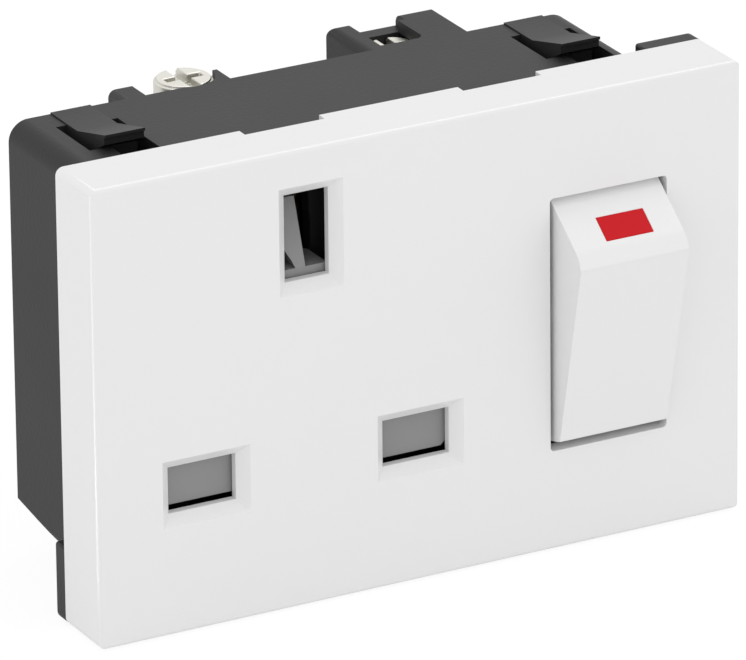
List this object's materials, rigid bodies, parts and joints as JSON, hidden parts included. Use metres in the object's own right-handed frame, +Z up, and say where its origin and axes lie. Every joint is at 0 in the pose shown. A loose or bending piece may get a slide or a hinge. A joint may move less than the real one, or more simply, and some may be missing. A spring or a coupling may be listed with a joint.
{
  "type": "switched socket insert",
  "caption": "Switched wall socket insert with three shuttered pin openings, a tall rocker with a red window and screw terminals behind.",
  "frame": {"origin": "centre of the plane in which the flange seats on the mounting frame", "axes": "+X right as seen from the front, +Y into the wall, +Z up"},
  "size_m": [0.0676, 0.0376, 0.045],
  "materials": {
    "white_plastic": "semi-gloss moulded",
    "grey_plastic": "satin moulded",
    "shutter_plastic": "satin moulded",
    "plunger_plastic": "satin moulded",
    "red_plastic": "translucent gloss",
    "lamp_glass": "clear",
    "resistor_body": "lacquered",
    "steel": "zinc plated",
    "spring_wire": "drawn wire",
    "brass": "stamped",
    "silver": "silver alloy",
    "nickel": "nickel plated"
  },
  "bodies": {
    "base": {"front_cover": "white_plastic", "rear_housing": "grey_plastic", "contact_plate": "grey_plastic", "plate_screws": "steel", "neon_lamp": "lamp_glass", "lamp_resistor": "resistor_body", "shutter_spring": "spring_wire", "earth_contact": "brass", "live_contact": "brass", "neutral_contact": "brass", "fixed_tips": "silver", "live_terminal": "brass", "neutral_terminal": "brass"},
    "rocker": {"rocker": "white_plastic", "indicator_lens": "red_plastic", "live_spring": "spring_wire", "neutral_spring": "spring_wire"},
    "live_plunger": {"live_plunger": "plunger_plastic"},
    "neutral_plunger": {"neutral_plunger": "plunger_plastic"},
    "live_lever": {"live_lever": "brass", "lever_tip_live": "silver"},
    "neutral_lever": {"neutral_lever": "brass", "lever_tip_neutral": "silver"},
    "shutter": {"shutter": "shutter_plastic"},
    "earth_clamp": {"earth_clamp": "nickel"},
    "earth_screw": {"earth_screw": "nickel"},
    "live_clamp": {"live_clamp": "nickel"},
    "live_screw": {"live_screw": "nickel"},
    "neutral_clamp": {"neutral_clamp": "nickel"},
    "neutral_screw": {"neutral_screw": "nickel"}
  },
  "joints": [
    {"name": "rocker_pivot", "type": "hinge", "parent": "base", "child": "rocker", "pos_m": [0.01968, -0.0053, 0], "axis": [-1, 0, 0], "range_deg": [0, 14]},
    {"name": "live_lever_pivot", "type": "hinge", "parent": "base", "child": "live_lever", "pos_m": [0.01657, 0.00608, 0], "axis": [-1, 0, 0], "range_deg": [-21, 0]},
    {"name": "neutral_lever_pivot", "type": "hinge", "parent": "base", "child": "neutral_lever", "pos_m": [0.02278, 0.00608, 0], "axis": [-1, 0, 0], "range_deg": [-21, 0]},
    {"name": "live_plunger_slide", "type": "slide", "parent": "rocker", "child": "live_plunger", "axis": [0, -0.9925, -0.1219], "range_m": [0, 0.0005], "stiffness_N_per_m": 400, "springref_m": -0.001, "deforming": ["live_spring"]},
    {"name": "neutral_plunger_slide", "type": "slide", "parent": "rocker", "child": "neutral_plunger", "axis": [0, -0.9925, -0.1219], "range_m": [0, 0.0005], "stiffness_N_per_m": 400, "springref_m": -0.001, "deforming": ["neutral_spring"]},
    {"name": "shutter_slide", "type": "slide", "parent": "base", "child": "shutter", "axis": [0, 0, -1], "range_m": [0, 0.007], "stiffness_N_per_m": 60, "springref_m": -0.004, "deforming": ["shutter_spring"]},
    {"name": "earth_clamp_slide", "type": "slide", "parent": "base", "child": "earth_clamp", "axis": [0, 0, -1], "range_m": [0, 0.00196]},
    {"name": "earth_screw_turn", "type": "hinge", "parent": "earth_clamp", "child": "earth_screw", "pos_m": [-0.01, 0.01915, 0.018], "axis": [0, 0, -1], "range_deg": [0, 1008]},
    {"name": "live_clamp_slide", "type": "slide", "parent": "base", "child": "live_clamp", "axis": [0, 0, -1], "range_m": [0, 0.00196]},
    {"name": "live_screw_turn", "type": "hinge", "parent": "live_clamp", "child": "live_screw", "pos_m": [0.01243, 0.0197, 0.016], "axis": [0, 0, -1], "range_deg": [0, 1008]},
    {"name": "neutral_clamp_slide", "type": "slide", "parent": "base", "child": "neutral_clamp", "axis": [0, 0, 1], "range_m": [0, 0.00196]},
    {"name": "neutral_screw_turn", "type": "hinge", "parent": "neutral_clamp", "child": "neutral_screw", "pos_m": [0.01243, 0.0197, -0.013], "axis": [0, 0, 1], "range_deg": [0, 1008]}
  ],
  "couplings": [
    {"joint": "live_lever_pivot", "follows": "rocker_pivot", "ratio": -1.5},
    {"joint": "neutral_lever_pivot", "follows": "rocker_pivot", "ratio": -1.5},
    {"joint": "earth_screw_turn", "follows": "earth_clamp_slide", "rad_per_m": 8976},
    {"joint": "live_screw_turn", "follows": "live_clamp_slide", "rad_per_m": 8976},
    {"joint": "neutral_screw_turn", "follows": "neutral_clamp_slide", "rad_per_m": 8976}
  ]
}
